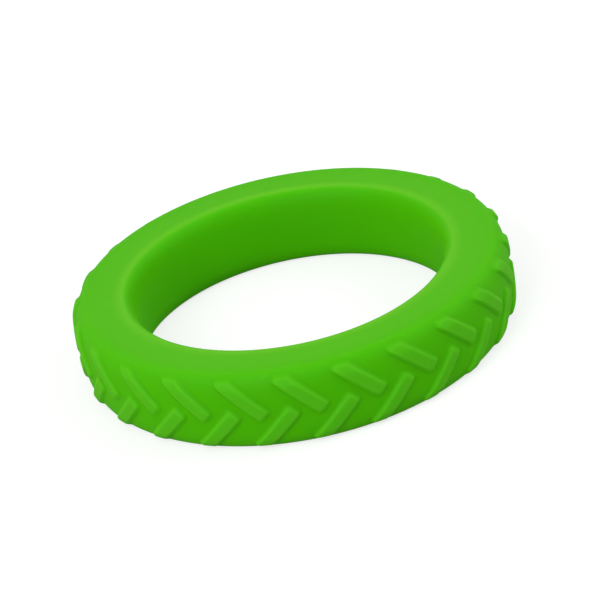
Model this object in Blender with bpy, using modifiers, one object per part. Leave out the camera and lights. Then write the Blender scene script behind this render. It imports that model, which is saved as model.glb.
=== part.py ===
"""A soft silicone ring, worn as a bangle, moulded in one piece.

The ring has flat side faces, a crowned bore and rounded shoulders. Its outer face carries two rows of
slanting bars, like the tread of a tyre. The lower row is the upper row turned over and moved on by half
a pitch. The ring lies on its side: the origin is at the middle of the underside, and +Z is its axis.
"""

import math

import bmesh
import bpy
import numpy as np
from mathutils import Matrix, Vector

COLLECTION_NAME = "silicone_ring"
GUIDES_NAME = "guides"
RING_NAME = "tread_ring"

# Driving dimensions, in metres.
RING_HEIGHT = 0.0148
BORE_RADIUS = 0.02835  # at mid-height, where the crowned bore is narrowest
CROWN_RADIUS = 0.03985  # the outer face between the bars
FACE_INNER_RADIUS = 0.0312  # the flat side faces run from this radius
FACE_OUTER_RADIUS = 0.0369  # to this one
BORE_CROWN_HALF = 0.0004  # the straight stretch of the bore, each way from mid-height
TREAD_CROWN_HALF = 0.0013  # the straight stretch of the outer face, each way from mid-height
SHOULDER_POWER = 2.6  # of the superellipse in the shoulder's section: 2 is an ellipse, more is squarer
RIM_POWER = 3.0  # of the one between the bore and a side face

# The bars. Their outline is measured along the surface of the outer face.
BARS_PER_ROW = 24
BAR_WIDTH = 0.0026
BAR_SLANT = math.radians(45.0)  # from the ring's axis
BAR_CORNER_REACH = 0.0009  # how far along its sides each corner of a bar is rounded
BAR_PAST_MIDDLE = 0.0004  # how far the middle of a bar's inner end lies past mid-height
BAR_SHOULDER_END = 0.0068  # where a bar ends on the shoulder, along the surface from mid-height
BAR_HEIGHT = 0.00055  # at mid-height
BAR_FACET_START = 0.0052  # the height above mid-height at which a bar's sloping end facet starts
BAR_BOW = 0.0002  # how much nearer the axis a bar's outer face is there than at mid-height
BAR_END_STEP = 0.00065  # how far a bar still stands out where the facet ends
FIRST_BAR_ANGLE = math.radians(2.2)  # the inner end of the first upper bar

# How finely the shape is faceted.
RING_STEPS = 72
SHOULDER_SEGMENTS = 6
BORE_SEGMENTS = 6
BAR_BENDS = 4
CORNER_SEGMENTS = 2
BAR_ROOT_DEPTH = 0.0006  # how far a bar reaches into the ring, so that the two join
MERGE_DISTANCE = 0.00001
SHARP_EDGE_ANGLE = math.radians(40.0)
TABLE_STEPS = 60  # samples of the shoulder, for lengths along the surface

SILICONE_GREEN = (0.075, 0.485, 0.012, 1.0)
SILICONE_ROUGHNESS = 0.45

HALF_HEIGHT = RING_HEIGHT / 2
PITCH = 2 * math.pi / BARS_PER_ROW
SHOULDER_DEPTH = CROWN_RADIUS - FACE_OUTER_RADIUS
SHOULDER_DROP = HALF_HEIGHT - TREAD_CROWN_HALF
RIM_DEPTH = FACE_INNER_RADIUS - BORE_RADIUS
RIM_DROP = HALF_HEIGHT - BORE_CROWN_HALF


def remove_all_objects():
    """Empties the scene, so that the script can be run again."""
    for item in list(bpy.data.objects):
        bpy.data.objects.remove(item)


def new_collection(name):
    """A collection linked to the scene."""
    collection = bpy.data.collections.new(name)
    bpy.context.scene.collection.children.link(collection)
    return collection


def silicone_material():
    """Matt green silicone rubber."""
    material = bpy.data.materials.new("green_silicone")
    material.use_nodes = True
    shader = material.node_tree.nodes["Principled BSDF"]
    shader.inputs["Base Color"].default_value = SILICONE_GREEN
    shader.inputs["Roughness"].default_value = SILICONE_ROUGHNESS
    shader.inputs["Metallic"].default_value = 0.0
    material.diffuse_color = SILICONE_GREEN
    return material


def shoulder_point(turn):
    """Radius and height above mid-height on the shoulder: turn is 0 at the tread, pi/2 at the face."""
    radius = FACE_OUTER_RADIUS + SHOULDER_DEPTH * math.cos(turn) ** (2 / SHOULDER_POWER)
    height = TREAD_CROWN_HALF + SHOULDER_DROP * math.sin(turn) ** (2 / SHOULDER_POWER)
    return radius, height


def rim_point(turn):
    """Radius and height above mid-height in the bore: turn is 0 at the face and pi/2 at mid-height."""
    radius = FACE_INNER_RADIUS - RIM_DEPTH * math.sin(turn) ** (2 / RIM_POWER)
    height = BORE_CROWN_HALF + RIM_DROP * math.cos(turn) ** (2 / RIM_POWER)
    return radius, height


def quarter_turns(segments):
    """The angles that divide a quarter turn evenly, both ends included."""
    return [math.pi / 2 * step / segments for step in range(segments + 1)]


def ring_section():
    """The ring's section as a closed outline: out along the top, down the tread, in, and up the bore."""
    upper_shoulder = [shoulder_point(turn) for turn in reversed(quarter_turns(SHOULDER_SEGMENTS))]
    lower_shoulder = [(radius, -height) for radius, height in reversed(upper_shoulder)]
    upper_rim = [rim_point(turn) for turn in reversed(quarter_turns(BORE_SEGMENTS))]
    lower_rim = [(radius, -height) for radius, height in reversed(upper_rim)]
    outline = upper_shoulder + lower_shoulder + lower_rim + upper_rim
    return [(radius, HALF_HEIGHT + height) for radius, height in outline]


def make_ring(collection, material):
    """The ring without its bars: the section turned about Z."""
    outline = ring_section()
    mesh = bpy.data.meshes.new(RING_NAME)
    count = len(outline)
    edges = [(index, (index + 1) % count) for index in range(count)]
    mesh.from_pydata([(radius, 0.0, height) for radius, height in outline], edges, [])
    mesh.materials.append(material)
    ring = bpy.data.objects.new(RING_NAME, mesh)
    collection.objects.link(ring)
    turned = ring.modifiers.new("turned", "SCREW")
    turned.axis = "Z"
    turned.angle = 2 * math.pi
    turned.steps = RING_STEPS
    turned.render_steps = RING_STEPS
    turned.use_merge_vertices = True
    turned.merge_threshold = MERGE_DISTANCE
    turned.use_smooth_shade = True
    return ring


def surface_table():
    """Distance along the surface from mid-height, radius and height, from the tread to the side face."""
    samples = [shoulder_point(turn) for turn in quarter_turns(TABLE_STEPS)]
    radii = np.array([CROWN_RADIUS] + [radius for radius, height in samples])
    heights = np.array([0.0] + [height for radius, height in samples])
    steps = np.hypot(np.diff(radii), np.diff(heights))
    distances = np.concatenate([[0.0], np.cumsum(steps)])
    return distances, radii, heights


def bar_top_radius(height, table):
    """The radius of a bar's outer face, which is bowed, or of the straight facet at its shoulder end."""
    if height < BAR_FACET_START:
        return CROWN_RADIUS + BAR_HEIGHT - BAR_BOW * (height / BAR_FACET_START) ** 2
    distances, radii, heights = table
    end_height = np.interp(BAR_SHOULDER_END, distances, heights)
    end_radius = np.interp(BAR_SHOULDER_END, distances, radii) + BAR_END_STEP
    start_radius = CROWN_RADIUS + BAR_HEIGHT - BAR_BOW
    share = (height - BAR_FACET_START) / (end_height - BAR_FACET_START)
    return start_radius + share * (end_radius - start_radius)


def point_on_bar(around, along, is_outer, table):
    """A point of a bar's outer face or root, by its distances round the ring and up from mid-height."""
    distances, radii, heights = table
    height = float(np.interp(abs(along), distances, heights))
    if is_outer:
        radius = float(bar_top_radius(height, table))
    else:
        radius = float(np.interp(abs(along), distances, radii)) - BAR_ROOT_DEPTH
    angle = around / CROWN_RADIUS
    level = HALF_HEIGHT + math.copysign(height, along)
    return Vector((radius * math.cos(angle), radius * math.sin(angle), level))


def bend_distances(table):
    """Where the bars are cut across so that they bend: evenly up to the facet, and at its start."""
    facet = float(np.interp(BAR_FACET_START, table[2], table[0]))
    return [facet * bend / BAR_BENDS for bend in range(1, BAR_BENDS + 1)]


def flat_bar(table):
    """One upper bar laid out flat: X runs round the ring, Y up from mid-height, and Z outwards."""
    bar = bmesh.new()
    bmesh.ops.create_cube(bar, size=1.0)
    length = (BAR_SHOULDER_END + BAR_PAST_MIDDLE) / math.cos(BAR_SLANT)
    for vert in bar.verts:
        across = vert.co.x * BAR_WIDTH
        along = (vert.co.y + 0.5) * length
        if vert.co.y > 0:
            along -= across * math.tan(BAR_SLANT)  # the outer end is cut along the edge of the ring
        above = BAR_HEIGHT if vert.co.z > 0 else -BAR_ROOT_DEPTH
        vert.co = Vector((across, along, above))
    upright = [edge for edge in bar.edges if abs(edge.verts[0].co.z - edge.verts[1].co.z) > BAR_HEIGHT]
    bmesh.ops.bevel(
        bar,
        geom=upright,
        offset=BAR_CORNER_REACH,
        offset_type="OFFSET",
        segments=CORNER_SEGMENTS,
        profile=0.5,
        affect="EDGES",
    )
    bmesh.ops.rotate(bar, verts=bar.verts, matrix=Matrix.Rotation(BAR_SLANT, 3, "Z"))
    bmesh.ops.translate(bar, verts=bar.verts, vec=(0.0, -BAR_PAST_MIDDLE, 0.0))
    for distance in bend_distances(table):
        geometry = bar.verts[:] + bar.edges[:] + bar.faces[:]
        bmesh.ops.bisect_plane(bar, geom=geometry, plane_co=(0, distance, 0), plane_no=(0, 1, 0))
    return bar


def add_bar(target, angle, side, table):
    """Wraps one bar onto the ring: side is 1 for the upper row and -1 for the lower row."""
    bar = flat_bar(table)
    for vert in bar.verts:
        around = angle * CROWN_RADIUS + vert.co.x
        vert.co = point_on_bar(around, vert.co.y * side, vert.co.z > 0, table)
    if side < 0:
        bmesh.ops.reverse_faces(bar, faces=bar.faces)
    wrapped = bpy.data.meshes.new("bar")
    bar.to_mesh(wrapped)
    bar.free()
    target.from_mesh(wrapped)
    bpy.data.meshes.remove(wrapped)


def make_bars(collection, material):
    """Both rows of bars in one object, which the ring is joined with."""
    table = surface_table()
    bars = bmesh.new()
    for index in range(BARS_PER_ROW):
        angle = FIRST_BAR_ANGLE + index * PITCH
        add_bar(bars, angle, 1, table)
        add_bar(bars, angle + PITCH / 2, -1, table)
    mesh = bpy.data.meshes.new("tread_bars")
    bars.to_mesh(mesh)
    bars.free()
    mesh.materials.append(material)
    mesh.shade_smooth()
    mesh.set_sharp_from_angle(angle=SHARP_EDGE_ANGLE)
    item = bpy.data.objects.new("tread_bars", mesh)
    collection.objects.link(item)
    item.hide_render = True
    item.display_type = "WIRE"
    return item


def join_bars(ring, bars):
    """Joins the bars to the ring as one closed solid."""
    union = ring.modifiers.new("bars", "BOOLEAN")
    union.operation = "UNION"
    union.solver = "EXACT"
    union.object = bars


def main():
    remove_all_objects()
    material = silicone_material()
    collection = new_collection(COLLECTION_NAME)
    guides = new_collection(GUIDES_NAME)
    ring = make_ring(collection, material)
    bars = make_bars(guides, material)
    join_bars(ring, bars)


main()
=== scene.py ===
"""A soft green silicone ring whose outer face is like a tyre's tread.

The ring and its bars are one fine closed mesh, which stands for the frame's tread_ring. The script lays
the ring's section out row by row, raises the bars on the outer face, and adds floor, light and camera.
"""

import math

import bpy
import numpy as np
from mathutils import Matrix, Vector


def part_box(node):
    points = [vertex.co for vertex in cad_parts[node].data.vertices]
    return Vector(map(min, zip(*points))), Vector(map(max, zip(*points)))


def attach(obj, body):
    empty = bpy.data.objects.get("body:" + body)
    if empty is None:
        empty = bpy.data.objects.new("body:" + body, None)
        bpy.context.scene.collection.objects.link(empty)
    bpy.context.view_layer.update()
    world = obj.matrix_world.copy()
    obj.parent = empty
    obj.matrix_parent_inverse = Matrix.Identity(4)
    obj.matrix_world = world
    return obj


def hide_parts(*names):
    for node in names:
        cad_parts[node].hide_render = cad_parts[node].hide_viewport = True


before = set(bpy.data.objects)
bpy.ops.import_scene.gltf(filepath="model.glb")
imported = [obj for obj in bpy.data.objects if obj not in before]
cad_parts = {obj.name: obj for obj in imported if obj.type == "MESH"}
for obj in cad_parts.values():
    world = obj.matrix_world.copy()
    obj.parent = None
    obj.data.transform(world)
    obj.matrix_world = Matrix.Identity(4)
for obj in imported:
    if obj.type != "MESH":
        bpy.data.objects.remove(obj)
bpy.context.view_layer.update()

NODE = "tread_ring"

# The ring's own dimensions, in metres. Its height comes from the frame.
ring_low, ring_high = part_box(NODE)
RING_HEIGHT = ring_high.z - ring_low.z
BORE_RADIUS = 0.02835  # at mid-height, where the crowned bore is narrowest
CROWN_RADIUS = 0.03985  # the outer face between the bars
FACE_INNER_RADIUS = 0.0312  # the flat side faces run from this radius
FACE_OUTER_RADIUS = 0.0369  # to this one
BORE_CROWN_HALF = 0.0004  # the straight stretch of the bore, each way from mid-height
TREAD_CROWN_HALF = 0.0013  # the straight stretch of the outer face, each way from mid-height
SHOULDER_POWER = 2.6  # of the superellipse in the shoulder's section: 2 is an ellipse, more is squarer
RIM_POWER = 3.0  # of the one between the bore and the side face

# The bars. Their outline is measured along the surface of the outer face.
BARS_PER_ROW = 24
BAR_HEIGHT = 0.00055  # at mid-height
BAR_BOW = 0.0002  # how much nearer the axis a bar's outer face is where its end facet starts
BAR_FACET_START = 0.0052  # the height above mid-height at which the end facet starts
BAR_FACET_BLEND = 0.0002  # how far the outer face and the facet run into each other
BAR_END_STEP = 0.00065  # how far a bar still stands out where the facet ends
BAR_SHOULDER_END = 0.0068  # where a bar ends on the shoulder, along the surface from mid-height
BAR_WIDTH = 0.0026
BAR_SLANT = math.radians(45.0)  # from the ring's axis
BAR_CORNER_RADIUS = 0.0007
BAR_PAST_MIDDLE = 0.0004  # how far the middle of a bar's inner end lies past mid-height
BAR_WALL = 0.0009  # the width that a bar's side takes to rise
FIRST_BAR_ANGLE = math.radians(2.2)  # the inner end of the first upper bar

HALF_HEIGHT = RING_HEIGHT / 2
PITCH = 2 * math.pi * CROWN_RADIUS / BARS_PER_ROW
SHOULDER_DEPTH = CROWN_RADIUS - FACE_OUTER_RADIUS
SHOULDER_DROP = HALF_HEIGHT - TREAD_CROWN_HALF
RIM_DEPTH = FACE_INNER_RADIUS - BORE_RADIUS
RIM_DROP = HALF_HEIGHT - BORE_CROWN_HALF
SLANT_RATIO = math.tan(BAR_SLANT)

# How finely the surface is laid out. Rows run round the ring, and columns run round its section.
COLUMNS_PER_PITCH = 38
COLUMN_CROWDING = 1.2  # how much denser the columns are at a bar's sides: 1 would double them
COLUMN_REACH = 0.00055  # how far from a bar's side the extra columns spread
TREAD_ROWS = 71
ROW_CROWDING = 2.0  # the same for the rows of the outer face, at the bars' ends and facets
ROW_REACH = 0.0007
FACE_ROWS = 5
RIM_ROWS = 12
TABLE_STEPS = 400  # samples of the shoulder, for lengths along the surface
CROWDING_STEPS = 8001  # samples of a stretch whose rows or columns are crowded

# The camera, which is rolled about its own line of sight. Its lens and sensor are in millimetres.
CAMERA_DISTANCE = 0.4957
CAMERA_ELEVATION = math.radians(27.81)
CAMERA_ROLL = math.radians(12.1)
CAMERA_LENS = 163.04
CAMERA_SENSOR = 36.0
CAMERA_SHIFT = (0.01035, -0.00111)

# The softboxes: name, azimuth from the camera's side towards +X, elevation, size in metres and watts.
SOFTBOXES = (
    ("key", -36.0, 33.0, 0.6, 5.2),
    ("fill", 85.0, 32.0, 0.6, 2.8),
)
SOFTBOX_DISTANCE = 1.0
WORLD_STRENGTH = 0.56
WHITE = (1.0, 1.0, 1.0, 1.0)
FLOOR_SIZE = 6.0
FLOOR_GREY = (0.38, 0.38, 0.38, 1.0)
FLOOR_ROUGHNESS = 0.9
FLOOR_GLOW = 0.72

# The silicone.
# Painted shade: the deeper green kept in the bore and the channels between the bars.
SHADED_GREEN = (0.076, 0.503, 0.0005, 1.0)
# Painted sheen and light: the paler green of the lit side faces and the bars.
LIT_SHEEN_GREEN = (0.093, 0.512, 0.008, 1.0)
# Painted highlight: the paler green along the bore's rim and the bars' borders.
HIGHLIGHT_GREEN = (0.17, 0.6, 0.022, 1.0)
SILICONE_IOR = 1.41
SILICONE_SPECULAR = 0.08
SCATTER_BY_COLOUR = (0.6, 1.0, 0.2)  # how far red, green and blue light spread, as shares of the reach
SCATTER_REACH = 0.0022

# Its surface: features per metre, and heights in metres.
SHEEN_ROUGHNESS = (0.46, 0.58)
PATCH_SCALE = 300.0
PATCH_DETAIL = 2.0
WAVE_SCALE = 130.0
WAVE_DETAIL = 1.0
WAVE_HEIGHT = 0.00006
GRAIN_SCALE = 2500.0
GRAIN_DETAIL = 3.0
GRAIN_HEIGHT = 0.000008

# Where sheen, light and highlights are painted into the colour.
BORDER_LINE = 0.00035  # the half width of the painted highlight line round each bar
BORDER_HIGHLIGHT = 0.08
RIM_HIGHLIGHT = 0.65
RIM_HIGHLIGHT_RADIUS = 0.0307  # where the painted highlight on the bore's rim is brightest
RIM_HIGHLIGHT_OUTWARD = 0.0007  # how far the painted highlight reaches over the side face
RIM_HIGHLIGHT_INWARD = 0.0005  # and down into the bore
PAINTED_SHEEN_INNER_RADIUS = 0.0292  # the painted sheen of the side faces starts at this radius,
PAINTED_SHEEN_FADE_IN = 0.0018  # is full this much further out,
PAINTED_SHEEN_FADE_OUT = 0.005  # and fades away over this much before the crown of the outer face


def crowded(low, high, count, places, reach, crowding):
    """Positions from low to high, closer together near each of the places."""
    fine = np.linspace(low, high, CROWDING_STEPS)
    density = np.ones_like(fine)
    for place in places:
        density += crowding * np.exp(-(((fine - place) / reach) ** 2))
    total = np.concatenate([[0.0], np.cumsum((density[1:] + density[:-1]) / 2)])
    return np.interp(np.linspace(0.0, total[-1], count), total, fine)


def shoulder_table():
    """Distance along the outer face from mid-height, with the radius and the height there."""
    turn = np.linspace(0.0, math.pi / 2, TABLE_STEPS)
    radius = FACE_OUTER_RADIUS + SHOULDER_DEPTH * np.cos(turn) ** (2 / SHOULDER_POWER)
    height = TREAD_CROWN_HALF + SHOULDER_DROP * np.sin(turn) ** (2 / SHOULDER_POWER)
    steps = np.hypot(np.diff(radius), np.diff(height))
    distance = TREAD_CROWN_HALF + np.concatenate([[0.0], np.cumsum(steps)])
    flat = ([0.0], [CROWN_RADIUS], [0.0])
    return [np.concatenate(pair) for pair in zip(flat, (distance, radius, height))]


def tread_stations(table):
    """The rows of the outer face, from the top down: distance up from mid-height, radius and height."""
    distance, radius, height = table
    facet = np.interp(BAR_FACET_START, height, distance)
    places = (BAR_SHOULDER_END, facet, 0.0, -facet, -BAR_SHOULDER_END)
    edge = distance[-1]
    up = crowded(-edge, edge, TREAD_ROWS, places, ROW_REACH, ROW_CROWDING)[::-1]
    reach = np.abs(up)
    rise = np.interp(reach, distance, height) * np.sign(up)
    return np.column_stack([up, np.interp(reach, distance, radius), rise])


def face_stations(reach):
    """The rows of the upper side face, from its inner edge out."""
    radius = np.linspace(FACE_INNER_RADIUS, FACE_OUTER_RADIUS, FACE_ROWS + 1)[:-1]
    full = np.ones_like(radius)
    return np.column_stack([full * reach, radius, full * HALF_HEIGHT])


def rim_stations(reach):
    """The rows of the bore, from mid-height up to the side face."""
    turn = np.linspace(0.0, math.pi / 2, RIM_ROWS + 1)[:-1]
    radius = FACE_INNER_RADIUS - RIM_DEPTH * np.cos(turn) ** (2 / RIM_POWER)
    height = BORE_CROWN_HALF + RIM_DROP * np.sin(turn) ** (2 / RIM_POWER)
    return np.column_stack([np.full_like(radius, reach), radius, height])


def turned_over(stations):
    """The same rows on the lower half of the ring, in the opposite order."""
    return stations[::-1] * np.array([-1.0, 1.0, -1.0])


def section_stations(table):
    """Every row of the section: up the bore, out along the top, down the tread, in and up again."""
    reach = table[0][-1]
    rim = rim_stations(reach)
    face = face_stations(reach)
    tread = tread_stations(table)
    return np.concatenate([rim, face, tread, turned_over(face), turned_over(rim)])


def column_places():
    """Where the columns cross mid-height, as distances round the ring."""
    half_bar = BAR_WIDTH / 2 / math.cos(BAR_SLANT)
    upper = FIRST_BAR_ANGLE * CROWN_RADIUS - BAR_PAST_MIDDLE * SLANT_RATIO
    lower = upper + PITCH / 2
    walls = [centre + side * half_bar for centre in (upper, lower) for side in (-1, 1)]
    walls = [wall + turn * PITCH for wall in walls for turn in (-1, 0, 1)]
    count = COLUMNS_PER_PITCH + 1
    one_pitch = crowded(0.0, PITCH, count, walls, COLUMN_REACH, COLUMN_CROWDING)[:-1]
    return np.concatenate([one_pitch + index * PITCH for index in range(BARS_PER_ROW)])


def rounded_both(first, second, radius, cosine=0.0):
    """How far a point is outside a rounded corner, given how far it is outside each of the two edges.

    The edges' outward directions have this cosine between them.
    """
    first = first + radius
    second = second + radius
    by_corner = (first > second * cosine) & (second > first * cosine)
    to_corner = np.sqrt(first**2 + second**2 - 2 * first * second * cosine) / np.sqrt(1 - cosine**2)
    return np.where(by_corner, to_corner, np.maximum(first, second)) - radius


def bar_distance(around, up, centre):
    """How far a point of the flattened tread is outside the nearest bar of an upper row."""
    above_end = up + BAR_PAST_MIDDLE
    across = around - centre + above_end * SLANT_RATIO
    across = (across + PITCH / 2) % PITCH - PITCH / 2
    sideways = across * math.cos(BAR_SLANT)
    lengthways = above_end / math.cos(BAR_SLANT) - across * math.sin(BAR_SLANT)
    strip = rounded_both(np.abs(sideways) - BAR_WIDTH / 2, -lengthways, BAR_CORNER_RADIUS)
    cosine = math.sin(BAR_SLANT) * np.sign(sideways)
    return rounded_both(strip, up - BAR_SHOULDER_END, BAR_CORNER_RADIUS, cosine)


def smooth_step(value):
    """0 below 0 and 1 above 1, with a smooth rise between."""
    value = np.clip(value, 0.0, 1.0)
    return value * value * (3.0 - 2.0 * value)


def bars_distance(around, up):
    """How far a point of the flattened tread is outside the nearest bar of either row."""
    centre = FIRST_BAR_ANGLE * CROWN_RADIUS
    upper = bar_distance(around, up, centre)
    lower = bar_distance(around, -up, centre + PITCH / 2)
    return np.minimum(upper, lower)


def bar_top_radius(height, table):
    """The radius of a bar's outer face, which is bowed and runs into the straight facet at its end."""
    distance, radius, level = table
    end_height = np.interp(BAR_SHOULDER_END, distance, level)
    end_radius = np.interp(BAR_SHOULDER_END, distance, radius) + BAR_END_STEP
    reach = np.abs(height)
    bowed = CROWN_RADIUS + BAR_HEIGHT - BAR_BOW * (reach / BAR_FACET_START) ** 2
    along_facet = (reach - BAR_FACET_START) / (end_height - BAR_FACET_START)
    facet_radius = CROWN_RADIUS + BAR_HEIGHT - BAR_BOW
    facet = facet_radius + (end_radius - facet_radius) * along_facet
    return (bowed + facet - np.hypot(bowed - facet, BAR_FACET_BLEND)) / 2


def painted_highlights(distance, radius):
    """How strong the painted highlights are: most along the bars' borders and the bore's rim, fading
    beside them.
    """
    border = np.exp(-(((distance + BAR_WALL / 2) / BORDER_LINE) ** 2))
    from_rim = radius - RIM_HIGHLIGHT_RADIUS
    reach = np.where(from_rim > 0, RIM_HIGHLIGHT_OUTWARD, RIM_HIGHLIGHT_INWARD)
    rim = np.exp(-((from_rim / reach) ** 2))
    return np.maximum(BORDER_HIGHLIGHT * border, RIM_HIGHLIGHT * rim)


def painted_side_sheen(radius):
    """1 on the side faces, whose sheen and light are painted into the colour, fading to 0 in the bore
    and towards the crown.
    """
    inner = (radius - PAINTED_SHEEN_INNER_RADIUS) / PAINTED_SHEEN_FADE_IN
    outer = (CROWN_RADIUS - radius) / PAINTED_SHEEN_FADE_OUT
    return np.clip(np.minimum(inner, outer), 0.0, 1.0)


def ring_surface():
    """The points of the ring's surface by row and column, and the two values that colour them."""
    table = shoulder_table()
    up, radius, height = [column[:, None] for column in section_stations(table).T]
    around = column_places()[None, :] - np.abs(up) * SLANT_RATIO
    distance = bars_distance(around, up)
    cover = smooth_step(0.5 - distance / BAR_WALL)
    rise = np.maximum(bar_top_radius(height, table) - radius, 0.0)
    out = radius + cover * rise
    angle = around / CROWN_RADIUS
    level = ring_low.z + HALF_HEIGHT + height + np.zeros_like(out)
    points = np.stack([out * np.cos(angle), out * np.sin(angle), level], -1)
    # The bars and the side faces take the painted lit sheen.
    lit_sheen = np.maximum(cover, painted_side_sheen(radius))
    return points, {"painted_sheen": lit_sheen, "painted_highlight": painted_highlights(distance, radius)}


def wrapped_quads(rows, columns):
    """Faces of a grid whose last row meets its first, and whose last column meets its first."""
    row, column = np.meshgrid(np.arange(rows), np.arange(columns), indexing="ij")
    next_row = (row + 1) % rows
    next_column = (column + 1) % columns
    corners = [row * columns + column, next_row * columns + column]
    corners += [next_row * columns + next_column, row * columns + next_column]
    return np.stack(corners, -1).reshape(-1, 4)


def make_ring(material):
    """The ring as one closed mesh."""
    points, values = ring_surface()
    rows, columns = points.shape[:2]
    mesh = bpy.data.meshes.new("moulded_ring")
    mesh.from_pydata(points.reshape(-1, 3).tolist(), [], wrapped_quads(rows, columns).tolist())
    mesh.shade_smooth()
    for name, value in values.items():
        layer = mesh.attributes.new(name, "FLOAT", "POINT")
        layer.data.foreach_set("value", value.reshape(-1).astype(np.float32))
    mesh.materials.append(material)
    ring = bpy.data.objects.new("moulded_ring", mesh)
    bpy.context.scene.collection.objects.link(ring)
    return ring


def silicone():
    """Matt, slightly translucent green silicone."""
    material = bpy.data.materials.new("green_silicone")
    material.use_nodes = True
    nodes = material.node_tree.nodes
    links = material.node_tree.links
    shader = nodes["Principled BSDF"]
    shader.inputs["IOR"].default_value = SILICONE_IOR
    shader.inputs["Specular IOR Level"].default_value = SILICONE_SPECULAR
    shader.inputs["Subsurface Weight"].default_value = 1.0
    shader.inputs["Subsurface Radius"].default_value = SCATTER_BY_COLOUR
    shader.inputs["Subsurface Scale"].default_value = SCATTER_REACH
    add_tints(nodes, links, shader)
    add_grain(nodes, links, shader)
    return material


def add_tints(nodes, links, shader):
    """The colour: a painted lit sheen on the bars and the side faces, and painted highlights along the
    thin edges.
    """
    tint = nodes.new("ShaderNodeMix")
    tint.data_type = "RGBA"
    tint.inputs["A"].default_value = SHADED_GREEN
    tint.inputs["B"].default_value = LIT_SHEEN_GREEN
    links.new(attribute(nodes, "painted_sheen"), tint.inputs["Factor"])
    highlight = nodes.new("ShaderNodeMix")
    highlight.data_type = "RGBA"
    highlight.inputs["B"].default_value = HIGHLIGHT_GREEN
    links.new(tint.outputs["Result"], highlight.inputs["A"])
    links.new(attribute(nodes, "painted_highlight"), highlight.inputs["Factor"])
    links.new(highlight.outputs["Result"], shader.inputs["Base Color"])


def attribute(nodes, name):
    """The value that make_ring stored on the mesh's points under a name."""
    node = nodes.new("ShaderNodeAttribute")
    node.attribute_name = name
    return node.outputs["Fac"]


def noise(nodes, links, scale, detail):
    """Noise fixed to the object, whose features are about 1 / scale metres across."""
    place = nodes.new("ShaderNodeTexCoord")
    texture = nodes.new("ShaderNodeTexNoise")
    texture.inputs["Scale"].default_value = scale
    texture.inputs["Detail"].default_value = detail
    links.new(place.outputs["Object"], texture.inputs["Vector"])
    return texture.outputs["Fac"]


def add_grain(nodes, links, shader):
    """The uneven sheen, the faint waves and the fine moulded grain of the surface."""
    sheen = nodes.new("ShaderNodeMapRange")
    sheen.inputs["To Min"].default_value = SHEEN_ROUGHNESS[0]
    sheen.inputs["To Max"].default_value = SHEEN_ROUGHNESS[1]
    links.new(noise(nodes, links, PATCH_SCALE, PATCH_DETAIL), sheen.inputs["Value"])
    links.new(sheen.outputs["Result"], shader.inputs["Roughness"])
    waves = nodes.new("ShaderNodeBump")
    waves.inputs["Distance"].default_value = WAVE_HEIGHT
    links.new(noise(nodes, links, WAVE_SCALE, WAVE_DETAIL), waves.inputs["Height"])
    grain = nodes.new("ShaderNodeBump")
    grain.inputs["Distance"].default_value = GRAIN_HEIGHT
    links.new(noise(nodes, links, GRAIN_SCALE, GRAIN_DETAIL), grain.inputs["Height"])
    links.new(waves.outputs["Normal"], grain.inputs["Normal"])
    links.new(grain.outputs["Normal"], shader.inputs["Normal"])


def make_floor():
    """A plain white table top under the ring. Its own glow keeps it white and doesn't light the ring."""
    bpy.ops.mesh.primitive_plane_add(size=FLOOR_SIZE, location=(0.0, 0.0, ring_low.z))
    floor = bpy.context.object
    floor.name = "floor"
    material = bpy.data.materials.new("white_floor")
    material.use_nodes = True
    shader = material.node_tree.nodes["Principled BSDF"]
    shader.inputs["Base Color"].default_value = FLOOR_GREY
    shader.inputs["Roughness"].default_value = FLOOR_ROUGHNESS
    shader.inputs["Specular IOR Level"].default_value = 0.0
    shader.inputs["Emission Color"].default_value = WHITE
    shader.inputs["Emission Strength"].default_value = FLOOR_GLOW
    floor.data.materials.append(material)
    lit_by_glow = bpy.data.collections.new("lit_by_floor_glow")
    lit_by_glow.objects.link(floor)
    floor.light_linking.receiver_collection = lit_by_glow


def direction(azimuth, elevation):
    """The way from the ring to something seen at these angles: azimuth 0 is the camera's side."""
    level = math.cos(elevation)
    return Vector((level * math.sin(azimuth), -level * math.cos(azimuth), math.sin(elevation)))


def make_light():
    """Even white surroundings and the softboxes, which are aimed at the ring."""
    world = bpy.data.worlds.new("studio")
    world.use_nodes = True
    background = world.node_tree.nodes["Background"]
    background.inputs["Color"].default_value = WHITE
    background.inputs["Strength"].default_value = WORLD_STRENGTH
    bpy.context.scene.world = world
    for name, azimuth, elevation, size, watts in SOFTBOXES:
        away = direction(math.radians(azimuth), math.radians(elevation))
        lamp = bpy.data.lights.new(name, "AREA")
        lamp.shape = "SQUARE"
        lamp.size = size
        lamp.energy = watts
        item = bpy.data.objects.new(name, lamp)
        bpy.context.scene.collection.objects.link(item)
        item.location = away * SOFTBOX_DISTANCE
        item.rotation_euler = (-away).to_track_quat("-Z", "Y").to_euler()


def make_camera():
    """The camera in front of the ring, looking down at its middle, and turned by its roll."""
    camera = bpy.data.cameras.new("camera")
    camera.lens = CAMERA_LENS
    camera.sensor_width = CAMERA_SENSOR
    camera.shift_x, camera.shift_y = CAMERA_SHIFT
    item = bpy.data.objects.new("camera", camera)
    bpy.context.scene.collection.objects.link(item)
    back = direction(0.0, CAMERA_ELEVATION)
    target = Vector((0.0, 0.0, ring_low.z + HALF_HEIGHT))
    level = (-back).to_track_quat("-Z", "Y").to_matrix()
    turn = level @ Matrix.Rotation(-CAMERA_ROLL, 3, "Z")
    item.matrix_world = Matrix.Translation(target + back * CAMERA_DISTANCE) @ turn.to_4x4()
    bpy.context.scene.camera = item


bpy.context.scene.view_settings.view_transform = "Standard"
make_camera()
make_floor()
make_light()
ring = make_ring(silicone())
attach(ring, "root")
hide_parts(NODE)
